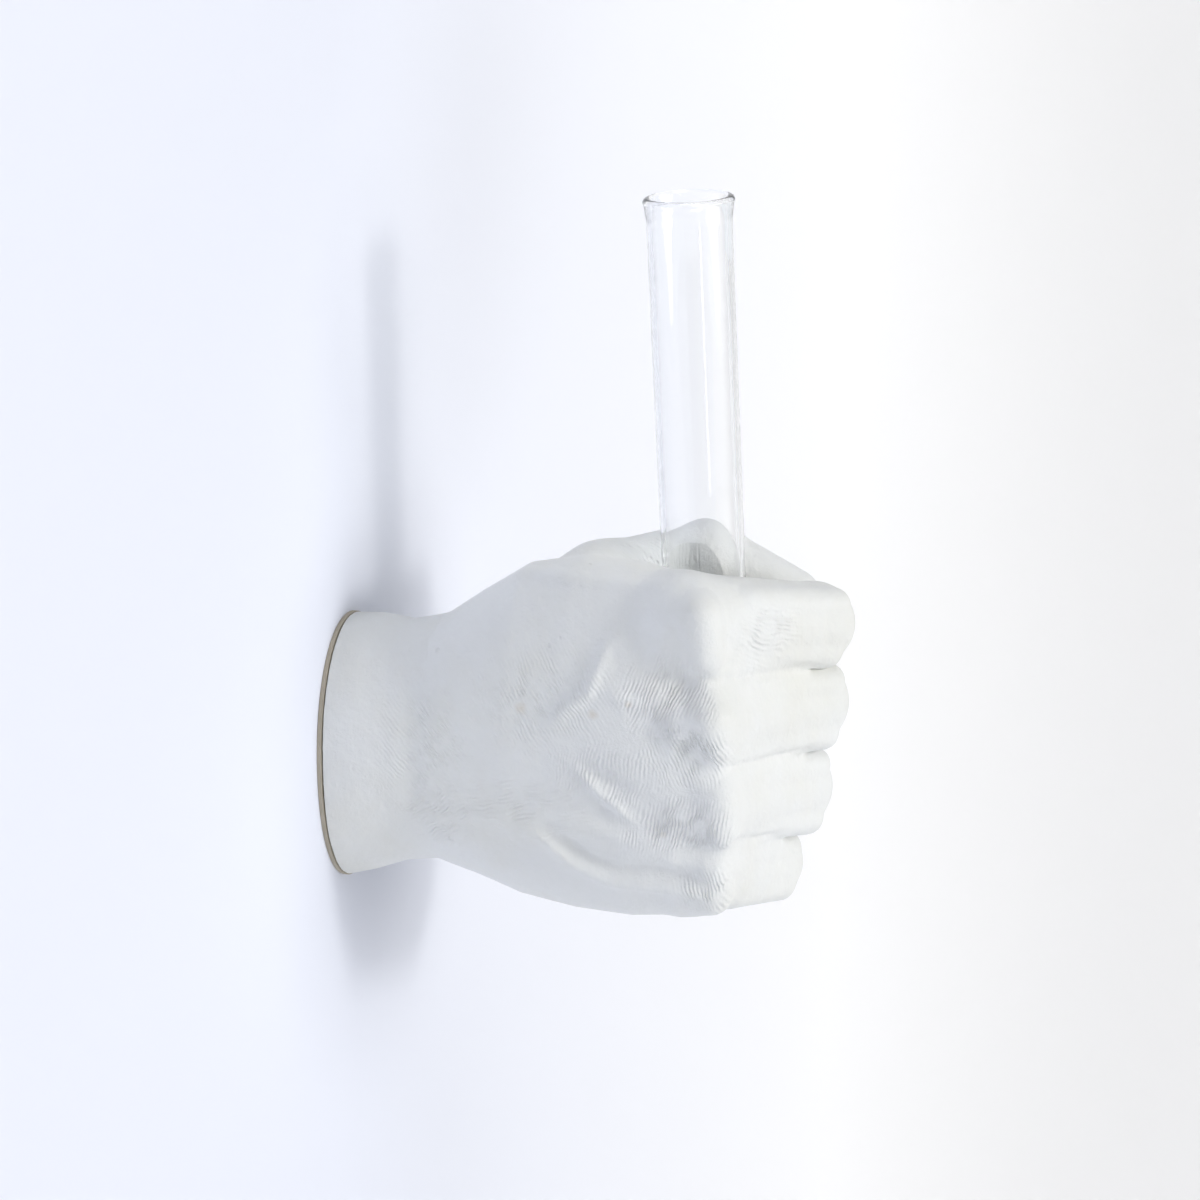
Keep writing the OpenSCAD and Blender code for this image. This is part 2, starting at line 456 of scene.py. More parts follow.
class Shader(NodeSketch):
    """One material's nodes around a Principled shader."""

    def __init__(self, name: str) -> None:
        """Starts a material that has a Principled shader and an output.

        Args:
            name: The material's name.
        """
        self.material = bpy.data.materials.new(name)
        self.material.use_nodes = True
        super().__init__(self.material.node_tree)
        self.tree.nodes.clear()
        self.output = self.add("OutputMaterial")
        self.body = self.add("BsdfPrincipled")
        self.feed(self.output.inputs["Surface"], self.body.outputs[0])
        self.where = self.add("TexCoord").outputs["Object"]

    def set(self, **values: object) -> None:
        """Sets values on the Principled shader."""
        self.set_inputs(self.body, **values)

    def effect(self, effect: Effect, **values: float) -> Socket:
        """Places a shared effect in this material with its own values.

        Args:
            effect: The effect.
            **values: Its inputs, with spaces as underscores.

        Returns:
            The effect's output.
        """
        node = self.tree.nodes.new("ShaderNodeGroup")
        node.node_tree = effect.tree
        self.set_inputs(node, **values)
        return node.outputs[0]

    def bump(self, height: Socket, depth: float, strength: float = 1.0, below: Socket | None = None,
             sunk: bool = False) -> Socket:
        """Turns a height to a normal.

        Args:
            height: The output that holds the height.
            depth: What a height of 1 stands for, in millimetres.
            strength: How much of it shows.
            below: The normal of the layer below.
            sunk: Whether the height goes into the surface.

        Returns:
            The output that holds the normal.
        """
        node = self.add("Bump", Height=height, Distance=depth * MM, Strength=strength, invert=sunk)
        if below is not None:
            self.feed(node.inputs["Normal"], below)
        return node.outputs[0]

    def see_through(self, share: Socket, colour: Colour = (1, 1, 1)) -> None:
        """Lets light go straight through a part of the surface.

        Args:
            share: The output that is 1 where light goes through.
            colour: How much of the light goes through.
        """
        clear = self.add("BsdfTransparent", Color=(*colour, 1))
        mix = self.add("MixShader", Fac=share)
        self.feed(mix.inputs[1], self.body.outputs[0])
        self.feed(mix.inputs[2], clear.outputs[0])
        self.feed(self.output.inputs["Surface"], mix.outputs[0])


# Finishes


class Finish:
    """Any finish that a piece can be dressed in."""

    def material(self) -> bpy.types.Material:
        """Builds the finish.

        Returns:
            The material.
        """
        raise NotImplementedError

    def put_on(self, piece: bpy.types.Object) -> None:
        """Dresses a piece in this finish alone.

        Args:
            piece: The piece to dress.
        """
        piece.data.materials.clear()
        piece.data.materials.append(self.material())


@dataclass(frozen=True)
class WrinklePatch:
    """One patch of fine skin wrinkles that run across a given direction. Sizes are in millimetres."""

    centre: Point
    spread: Point
    across: Point
    pitch: float = 0.85
    depth: float = 1.0


@dataclass(frozen=True)
class Spot:
    """One round place on the skin, for a stain or a pit. Sizes are in millimetres."""

    centre: Point
    radius: float


@dataclass(frozen=True)
class Unevenness:
    """A noisy layer on a surface, with its clouds to a metre and its depth in millimetres."""

    scale: float
    detail: float
    depth: float
    strength: float
    roughness: float = 0.5


def round_place_effect() -> Effect:
    """The shared effect that marks one round place with a ragged edge.

    Returns:
        The effect; its Mark is 1 inside the place and 0 outside it.
    """
    effect = Effect("round_place", {"Centre X": 0, "Centre Y": 0, "Centre Z": 0, "Radius": 1}, "Mark")
    gap = effect.vector("DISTANCE", effect.where, effect.three("Centre"))
    share = effect.number("DIVIDE", gap, effect.source.outputs["Radius"])
    ragged = effect.noise(effect.where, scale=700.0, detail=4.0)
    uneven = effect.number("ADD", share, ragged)
    effect.give(effect.ranged(uneven, low=0.75, high=1.6, first=1.0, last=0.0))
    return effect


def wrinkled_patch_effect() -> Effect:
    """The shared effect that gives the height of one wrinkled patch.

    Returns:
        The effect; its inputs are the patch's numbers in metres.
    """
    inputs = {f"{part} {axis}": 0 for part in ("Centre", "Spread", "Across") for axis in "XYZ"}
    effect = Effect("wrinkled_patch", {**inputs, "Depth": 1}, "Height")
    bend = effect.add("TexNoise", Vector=effect.where, Scale=75.0, Detail=4.0, Roughness=0.55)
    pull = effect.add("VectorMath", operation="SCALE", Vector=bend.outputs["Color"], Scale=4.5 * MM)
    bent = effect.vector("ADD", effect.where, pull.outputs[0])
    away = effect.vector("SUBTRACT", bent, effect.three("Centre"))
    far = effect.vector("LENGTH", effect.vector("DIVIDE", away, effect.three("Spread")))
    near = effect.ranged(far, low=0.35, high=1.15, first=1.0, last=0.0)
    broken = effect.noise(effect.where, scale=260.0, detail=1.0)
    uneven = effect.ranged(broken, low=0.36, high=0.6, first=0.2, last=1.3)
    wave = effect.number("SINE", effect.vector("DOT_PRODUCT", bent, effect.three("Across")))
    held = effect.number("MULTIPLY", wave, effect.number("MULTIPLY", near, uneven))
    effect.give(effect.number("MULTIPLY", held, effect.source.outputs["Depth"]))
    return effect


@dataclass(frozen=True)
class PaintedPlaster(Finish):
    """Matt white paint over cast plaster, with skin wrinkles, pits and faint stains.

    Depths are in millimetres.
    """

    paint: Colour = (0.80, 0.81, 0.808)
    yellowed: Colour = (0.96, 0.95, 0.91)
    stain: Colour = (0.56, 0.44, 0.27)
    stain_strength: float = 0.26
    roughness: float = 0.5
    shine: float = 0.3
    grain: Unevenness = Unevenness(scale=420.0, detail=6.0, depth=0.5, strength=1.0, roughness=0.65)
    brushing: Unevenness = Unevenness(scale=95.0, detail=2.0, depth=1.0, strength=0.6)
    wrinkle_depth: float = 0.13
    pit_depth: float = 0.3
    pit_strength: float = 0.9
    patches: Sequence[WrinklePatch] = (
        WrinklePatch((-19, -84, 29), (11, 12, 11), (0, 0.95, 0.3)),
        WrinklePatch((-19, -90, 16), (11, 12, 9), (0, 0.9, -0.35)),
        WrinklePatch((-19, -88, -3), (11, 16, 9), (0, 0.98, 0.15)),
        WrinklePatch((-14, -95, -21), (9, 10, 7), (0, 0.95, -0.2)),
        WrinklePatch((-20, -54, 27), (9, 19, 15), (0, 0.85, -0.5), 0.95, 0.7),
        WrinklePatch((-20, -70, 10), (9, 16, 9), (0, 0.95, 0.1), 0.9, 0.6),
        WrinklePatch((-18, -24, 12), (9, 12, 20), (0, 0.7, -0.65), 0.95, 0.5),
        WrinklePatch((-20, -50, -1), (8, 20, 10), (0, 0.25, 0.95), 1.0, 0.5),
        WrinklePatch((-18, -26, -8), (8, 11, 10), (0, 0.55, 0.8), 1.0, 0.7),
        WrinklePatch((2, -103, 40), (13, 9, 8), (0.6, 0.4, 0.7), 0.9, 0.7),
        WrinklePatch((16, -70, 48), (18, 14, 9), (0.9, -0.3, 0), 1.0, 0.5),
    )
    stains: Sequence[Spot] = (
        Spot((-20.3, -51.2, 21.5), 1.7), Spot((-20.3, -68.8, 21.8), 1.5), Spot((-20.3, -77.3, 25.0), 1.1),
        Spot((-20.3, -73.8, 36.0), 1.4), Spot((-20.0, -71.3, 41.5), 0.9), Spot((-20.0, -85.6, -6.8), 1.2),
    )
    pits: Sequence[Spot] = (
        Spot((-12.5, -28, 31), 0.7), Spot((-18, -57.5, 37), 0.6), Spot((-18, -60, 39), 0.5),
        Spot((-20.5, -89.5, 16.5), 0.5), Spot((15.5, -72.5, 49.5), 0.7), Spot((16, -74, 48.5), 0.5),
        Spot((-5.5, -63.5, 53.5), 0.6), Spot((-19.5, -23.5, -1), 0.8), Spot((-19, -26.5, -5), 1.0),
        Spot((-18.5, -29, -8), 0.8), Spot((-18, -31, -11), 0.9), Spot((-16.5, -32, -15), 0.7),
        Spot((-16, -24, -15.5), 0.8),
    )

    def marks(self, s: Shader, effect: Effect, spots: Sequence[Spot]) -> Socket:
        """Marks several round places.

        Args:
            s: The material.
            effect: The effect from round_place_effect.
            spots: The places.

        Returns:
            The output that is 1 in any of them.
        """
        marks = []
        for spot in spots:
            x, y, z = (c * MM for c in spot.centre)
            marks.append(s.effect(effect, Centre_X=x, Centre_Y=y, Centre_Z=z, Radius=spot.radius * MM))
        return s.total(marks)

    def wrinkles(self, s: Shader) -> Socket:
        """The height of all the wrinkled patches.

        Args:
            s: The material.

        Returns:
            The output that holds the height.
        """
        effect = wrinkled_patch_effect()
        heights = []
        for patch in self.patches:
            waves = Vector(patch.across).normalized() * (math.tau / (patch.pitch * MM))
            values = {"Depth": patch.depth}
            for k, axis in enumerate("XYZ"):
                values["Centre_" + axis] = patch.centre[k] * MM
                values["Spread_" + axis] = patch.spread[k] * MM
                values["Across_" + axis] = waves[k]
            heights.append(s.effect(effect, **values))
        return s.total(heights)

    def colour(self, s: Shader, spots: Effect) -> Socket:
        """Paints the body colour, a little yellower in places, with the stains.

        Args:
            s: The material.
            spots: The effect from round_place_effect.

        Returns:
            The output that holds the colour.
        """
        blotches = s.ranged(s.noise(s.where, scale=26.0, detail=4.0, roughness=0.6), low=0.42, high=0.7)
        older = tuple(share * part for share, part in zip(self.yellowed, self.paint))
        faint = s.number("MULTIPLY", self.marks(s, spots, self.stains), self.stain_strength)
        faint.node.use_clamp = True
        return s.mixed(faint, s.mixed(blotches, self.paint, older), self.stain)

    def normal(self, s: Shader, spots: Effect) -> Socket:
        """Lays the grain, the brushing, the wrinkles and the pits over each other.

        Args:
            s: The material.
            spots: The effect from round_place_effect.

        Returns:
            The output that holds the normal.
        """
        below = None
        for layer in (self.grain, self.brushing):
            cloud = s.noise(s.where, layer.scale, layer.detail, layer.roughness)
            below = s.bump(cloud, layer.depth, layer.strength, below)
        folds = s.bump(self.wrinkles(s), self.wrinkle_depth, below=below)
        return s.bump(self.marks(s, spots, self.pits), self.pit_depth, self.pit_strength, folds, sunk=True)

    def material(self) -> bpy.types.Material:
        """Builds the finish.

        Returns:
            The material.
        """
        s = Shader("painted_plaster")
        spots = round_place_effect()
        s.set(Base_Color=self.colour(s, spots), Normal=self.normal(s, spots))
        s.set(Roughness=self.roughness, Specular_IOR_Level=self.shine)
        return s.material


@dataclass(frozen=True)
class ClearGlass(Finish):
    """Clear laboratory glass that keeps some of the light from its shadow."""

    tint: Colour = (0.995, 0.998, 1.0)
    passed: Colour = (0.66, 0.67, 0.68)
    ior: float = 1.47
    haziest: float = 0.035

    def material(self) -> bpy.types.Material:
        """Builds the finish.

        Returns:
            The material.
        """
        s = Shader("tube_glass")
        film = s.noise(s.where, scale=60.0, detail=3.0)
        s.set(Roughness=s.ranged(film, low=0.35, high=0.75, last=self.haziest))
        s.set(Base_Color=(*self.tint, 1), IOR=self.ior, Transmission_Weight=1.0)
        s.see_through(s.add("LightPath").outputs["Is Shadow Ray"], self.passed)
        return s.material


@dataclass(frozen=True)
class PlateSheet(Finish):
    """Thin beige sheet with worn, paler clouds."""

    colour: Colour = (0.34, 0.30, 0.235)
    worn: Colour = (0.52, 0.47, 0.38)
    roughness: float = 0.6

    def material(self) -> bpy.types.Material:
        """Builds the finish.

        Returns:
            The material.
        """
        s = Shader("plate_sheet")
        wear = s.noise(s.where, scale=120.0, detail=5.0)
        s.set(Base_Color=s.mixed(wear, self.colour, self.worn), Roughness=self.roughness)
        return s.material


@dataclass(frozen=True)
class Metal(Finish):
    """A turned or plated metal with fine marks."""

    name: str
    colour: Colour
    roughness: float
    spread: float = 0.3

    def material(self) -> bpy.types.Material:
        """Builds the finish.

        Returns:
            The material.
        """
        s = Shader(self.name)
        marks = s.noise(s.where, scale=700.0, detail=4.0)
        smoothest, roughest = (self.roughness * (1 + way * self.spread) for way in (-1, 1))
        s.set(Roughness=s.ranged(marks, first=smoothest, last=roughest))
        s.set(Base_Color=(*self.colour, 1), Metallic=1.0)
        return s.material


@dataclass(frozen=True)
class BackdropWithPaintedLight(Finish):
    """Wall or floor paint with painted light: paler, and glowing to the camera, away from the fist. Sizes in
    millimetres.
    """

    name: str = "wall_paint_with_painted_light"
    near: Colour = (0.78, 0.805, 0.895)
    # Painted light: the paler colour away from the fist stands in for lamp light that falls off there.
    far: Colour = (0.985, 0.985, 1.0)
    painted_light_span: tuple[float, float] = (0, 600)
    # Painted glow, seen only by the camera, glass and shiny surfaces, growing away from the fist.
    painted_glow: float = 0.1
    painted_glow_colour: Colour = (0.97, 0.98, 1.0)
    roughness: float = 0.9
    shine: float = 0.1
    one_sided: bool = True
    opening: tuple[float, float] = (20.5, 32.5)

    def behind_plate(self, s: Shader) -> Socket:
        """Marks the oval that the back plate covers.

        Args:
            s: The material.

        Returns:
            The output that is 1 inside the oval.
        """
        half_width, half_height = self.opening
        share = s.vector("DIVIDE", s.where, (half_width * MM, 1, half_height * MM))
        return s.number("LESS_THAN", s.vector("LENGTH", share), 1)

    def material(self) -> bpy.types.Material:
        """Builds the finish; a one-sided one can't be seen from behind or behind the plate.

        Returns:
            The material.
        """
        s = Shader(self.name)
        start, end = (length * MM for length in self.painted_light_span)
        across = s.add("SeparateXYZ", Vector=s.where).outputs["X"]
        along = s.ranged(across, low=start, high=end)
        # Painted glow: the paint glows to the camera, more so away from the fist.
        level = s.number("MULTIPLY", s.number("MULTIPLY", s.seen_rays(), along), self.painted_glow)
        # Painted light: the colour pales away from the fist to make up for the lamps' falloff.
        s.set(Base_Color=s.mixed(along, self.near, self.far))
        s.set(Emission_Color=(*self.painted_glow_colour, 1), Emission_Strength=level)
        s.set(Roughness=self.roughness, Specular_IOR_Level=self.shine)
        if self.one_sided:
            behind = s.add("NewGeometry").outputs["Backfacing"]
            s.see_through(s.number("MAXIMUM", behind, self.behind_plate(s)))
        return s.material


# The form of the hand


@dataclass(frozen=True)
class Bone:
    """A tapering bar of flesh with round ends. Sizes are in millimetres."""

    start: Point
    end: Point
    start_radius: float
    end_radius: float

    def radius_at(self, t: float | np.ndarray) -> float | np.ndarray:
        """The bone's radius at a share of its length."""
        return self.start_radius + (self.end_radius - self.start_radius) * t

    def distance(self, x: np.ndarray) -> np.ndarray:
        """Signed distance to the bone.

        Args:
            x: Points in millimetres, one row each.

        Returns:
            One distance per point, negative inside.
        """
        start = np.array(self.start)
        along = np.array(self.end) - start
        t = np.clip((x - start) @ along / (along @ along), 0, 1)
        return np.linalg.norm(x - start - t[:, None] * along, axis=1) - self.radius_at(t)

    def balls(self, step: float) -> list[tuple[np.ndarray, float]]:
        """Balls that fill the bone.

        Args:
            step: The distance between two balls in millimetres.

        Returns:
            Centres and radii.
        """
        start = np.array(self.start)
        along = np.array(self.end) - start
        count = max(2, int(np.linalg.norm(along) / step) + 1)
        return [(start + along * t, self.radius_at(t)) for t in np.linspace(0, 1, count)]


def blend(a: np.ndarray, b: np.ndarray, softness: float | np.ndarray) -> np.ndarray:
    """Joins two distance fields with a rounded groove between them.

    Args:
        a: The first field.
        b: The second field.
        softness: How far the rounding reaches, in millimetres.

    Returns:
        The joined field.
    """
    h = np.clip(0.5 + 0.5 * (b - a) / softness, 0, 1)
    return b + (a - b) * h - softness * h * (1 - h)


def chain(joints: Sequence[Point], radii: Sequence[float]) -> list[Bone]:
    """Bones through a row of joints.

    Args:
        joints: The joints in order.
        radii: The radius at each joint.

    Returns:
        One bone between each two joints.
    """
    return [Bone(joints[k], joints[k + 1], radii[k], radii[k + 1]) for k in range(len(joints) - 1)]


def nearness(x: np.ndarray, place: Point, reach: float) -> np.ndarray:
    """How near points are to a place.

    Args:
        x: Points in millimetres, one row each.
        place: The place.
        reach: How far its neighbourhood reaches, in millimetres.

    Returns:
        One share per point, 1 at the place and 0 far away.
    """
    return np.exp(-(np.linalg.norm(x - np.array(place), axis=1) / reach) ** 2)


@dataclass(frozen=True)
class Finger:
    """One curled finger, with its girth at each joint as radii. Sizes are in millimetres.

    The edges start at a share of the first part's length, sunk a little into the knuckle.
    """

    knuckle: Point
    middle_joint: Point
    end_joint: Point
    tip: Point
    radii: tuple[float, float, float, float]
    cap: Bone
    edge_radius: float = 4.4
    edge_start: float = 0.3
    edge_sink: float = 1.4
    edge_bulge: float = 0.3

    def bones(self) -> list[Bone]:
        """The finger's three parts, from the knuckle to the tip."""
        return chain((self.knuckle, self.middle_joint, self.end_joint, self.tip), self.radii)

    def edges(self) -> list[Bone]:
        """The two long edges that square off the front of the finger's first part.

        Returns:
            The edges.
        """
        knuckle = np.array(self.knuckle, dtype=float)
        along = np.array(self.middle_joint, dtype=float) - knuckle
        ahead = np.array([along[1], -along[0], 0.0])
        ahead /= np.linalg.norm(ahead)
        across = np.cross(ahead, along)
        across /= np.linalg.norm(across)
        edges = []
        for side in (1, -1):
            ends = []
            for t, sunk in ((self.edge_start, self.edge_sink), (1.0, 0)):
                girth = (1 - t) * self.radii[0] + t * self.radii[1]
                off = girth - self.edge_radius - sunk
                wide = side * (off + self.edge_bulge)
                ends.append(tuple(knuckle + t * along + off * ahead + wide * across))
            edges.append(Bone(*ends, self.edge_radius, self.edge_radius))
        return edges


class Relief(Enum):
    """Whether a sculpted line stands out of the skin or is sunk into it."""

    RAISED = 1.0
    SUNK = -1.0


@dataclass(frozen=True)
class SculptLine:
    """A soft ridge or hollow along a line on the skin, in millimetres.

    Over its reach at each end it falls to a share of its height.
    """

    points: Sequence[Point]
    width: float
    height: float
    relief: Relief = Relief.RAISED
    reach: float = 9.0
    end_share: float = 0.25

    def rise(self, x: np.ndarray) -> np.ndarray:
        """How far the line moves each point along its normal.

        Args:
            x: Points in millimetres, one row each.

        Returns:
            One move per point, in millimetres.
        """
        nearest = np.full(len(x), np.inf)
        place = np.zeros(len(x))
        points = np.array(self.points, dtype=float)
        lengths = np.linalg.norm(np.diff(points, axis=0), axis=1)
        done = np.concatenate([[0], np.cumsum(lengths)])
        for k, length in enumerate(lengths):
            along = points[k + 1] - points[k]
            t = np.clip((x - points[k]) @ along / length**2, 0, 1)
            gap = np.linalg.norm(x - points[k] - t[:, None] * along, axis=1)
            nearer = gap < nearest
            nearest[nearer] = gap[nearer]
            place[nearer] = (done[k] + t * length)[nearer]
        from_end = np.clip(np.minimum(place, done[-1] - place) / self.reach, 0, 1)
        fade = self.end_share + (1 - self.end_share) * smooth_step(from_end)
        return self.relief.value * self.height * fade * np.exp(-((nearest / self.width) ** 2))


VEINS = (
    SculptLine(((-21, -57, 18.5), (-20.5, -61.5, 23), (-20, -66.5, 27), (-19.5, -68.5, 32.5),
                (-18, -70.5, 38), (-17.5, -72.5, 40.5)), 1.5, 1.1, reach=6),
    SculptLine(((-20, -67.5, 27), (-20, -72.5, 26.5), (-20, -77.5, 25.5), (-19.5, -82.5, 25)), 1.8, 0.6),
    SculptLine(((-20, -69.5, 29.5), (-18, -73, 36.5)), 1.2, 0.4),
    SculptLine(((-21, -61.5, 10), (-21, -65, 7), (-20.5, -69.5, 2.5), (-20.5, -74.5, -1.5),
                (-20, -78.5, -4.5)), 1.1, 0.8, reach=5),
)
"""The forked vein and the small one below it, on the back of the hand."""

TENDONS = (
    SculptLine(((-19, -31.5, -7.5), (-20, -44.5, -6.5), (-20.5, -55, -6), (-20, -66.5, -6.5),
                (-19.5, -77.5, -9.5), (-18, -90.5, -9), (-14, -97.5, -10)), 2.6, 0.9, reach=14),
    SculptLine(((-20, -46.5, -8), (-20, -54.5, -10), (-18.5, -62.5, -16.5), (-17.5, -70.5, -20.5),
                (-16.5, -80.5, -21), (-15, -90, -21.5), (-10.5, -96.5, -23.5)), 2.0, 1.3, reach=10),
    SculptLine(((-21, -60, 9.5), (-20.5, -69.5, 11), (-20, -79, 12.5), (-20, -91, 14.5)), 2.8, 0.9, reach=14),
    SculptLine(((-4, -42, 49), (-7.5, -51, 50.5), (-10.5, -61.5, 51), (-11, -71.5, 51),
                (-12.5, -81.5, 52), (-13.5, -89, 52.5)), 2.2, 0.8, reach=14),
    SculptLine(((15.5, -62, 53), (16, -66, 52.5), (16.5, -70, 51), (17.5, -73, 49.5)), 1.5, 0.7, reach=5),
)
"""The tendons to the knuckles and the fold beside the thumb."""

HOLLOWS = (
    SculptLine(((-17, -70, 41), (-17, -78, 42.5), (-19.5, -86, 44)), 4.5, 0.5, Relief.SUNK),
    SculptLine(((-19.5, -79, 28), (-18.5, -85.5, 29.5), (-16.5, -92.5, 30.5), (-13.5, -96.5, 30.5)), 4.5, 2.0,
               Relief.SUNK, 12),
    SculptLine(((-20.5, -86, 14), (-19.5, -91, 13.5), (-17, -95.5, 11.5), (-10.5, -99.5, 8)), 4.2, 1.6,
               Relief.SUNK),
    SculptLine(((-18.5, -86, -10), (-16.5, -93, -10.5), (-14, -96.5, -10.5), (-9, -100, -11)), 3.6, 1.3,
               Relief.SUNK),
    SculptLine(((-20.5, -74.5, 19.5), (-20, -81.5, 19.5), (-20.5, -88.5, 20.5)), 3.5, 0.5, Relief.SUNK),
    SculptLine(((-21, -66, 8.5), (-20.5, -72, 5.5), (-20.5, -78, 3)), 2.2, 0.8, Relief.SUNK, 5),
    SculptLine(((-20.5, -67, 0.5), (-20.5, -73, -4)), 2.4, 0.6, Relief.SUNK, 4),
    SculptLine(((-20, -56.5, -8), (-19.5, -62, -12), (-19, -66.5, -15.5), (-18.5, -74, -17.5),
                (-17, -83.5, -17.5), (-14.5, -93.5, -18.5)), 2.6, 1.5, Relief.SUNK, 9),
    SculptLine(((-18, -39, -13.5), (-18.5, -46.5, -15), (-18, -56.5, -19)), 4.0, 0.6, Relief.SUNK),
)
"""The hollows between the knuckles and beside the tendons."""

FINGER_GROOVES = (
    SculptLine(((-17, -94, 31), (-6, -100.4, 29.3), (8, -106.7, 26.7), (18, -113.5, 25)), 1.0, 0.75,
               Relief.SUNK, 4),
    SculptLine(((-15.5, -99.4, 9.8), (-2.7, -103.5, 7.5), (10.2, -108, 5), (18, -112.5, 4.4)), 1.0, 0.75,
               Relief.SUNK, 4),
    SculptLine(((-16, -100.6, -8.6), (-1, -103, -13), (9, -106.8, -15.3)), 1.0, 0.75, Relief.SUNK, 4),
)
"""The thin lines between the fingers."""

WRIST_HOLLOW = SculptLine(
    ((-8.5, -18.5, 31.5), (-17, -22, 19.5), (-19.5, -22, 5), (-17.5, -21.5, -11)), 3.5, 0.5, Relief.SUNK
)
"""The soft hollow across the wrist."""


class PalmSection(NamedTuple):
    """One oval across the wrist or the palm, y in front of the wrist's end. Sizes are in millimetres."""

    y: float
    centre_x: float
    centre_z: float
    half_width: float
    half_height: float
    squareness: float


@dataclass(frozen=True)
class Softness:
    """How far the joins between the masses of the hand are rounded, in millimetres."""

    masses: float = 7.0
    palm_front: float = 5.0
    grip: float = 1.5
    flesh: float = 2.5
    webs: float = 1.5
    knuckle_cap: float = 2.5
    finger_joint: float = 2.0
    finger_edge: float = 1.2
    thumb_joint: float = 3.0
    groove: float = 1.1
    knuckle: float = 6.0
    knuckle_reach: float = 17.0
    thumb_root: float = 7.0
    thumb_reach: float = 16.0


@dataclass(frozen=True)
class KeyholePocket:
    """The room behind one keyhole for a wall screw's head. Sizes are in millimetres."""

    entry_height: float
    drop: float = 8.0
    radius: float = 6.0
    depth: float = 10.5
    rounding: int = 40

    def cutter(self) -> bpy.types.Object:
        """Makes the form of the pocket.

        Returns:
            A closed form that cuts the pocket.
        """
        deselect_all()
        made = []
        for rise in (0, self.drop):
            bpy.ops.mesh.primitive_cylinder_add(
                vertices=self.rounding, radius=self.radius * MM, depth=2 * self.depth * MM,
                location=(0, 0, (self.entry_height + rise) * MM), rotation=(math.pi / 2, 0, 0)
            )
            made.append(bpy.context.object)
        bpy.ops.mesh.primitive_cube_add(size=1, location=(0, 0, (self.entry_height + self.drop / 2) * MM))
        bpy.context.object.scale = (2 * self.radius * MM, 2 * self.depth * MM, self.drop * MM)
        made.append(bpy.context.object)
        for piece in made:
            settle(piece)
        for other in made[1:]:
            change_form(made[0], other, Change.ADD)
        recalculate_normals(made[0])
        return made[0]


# The pieces


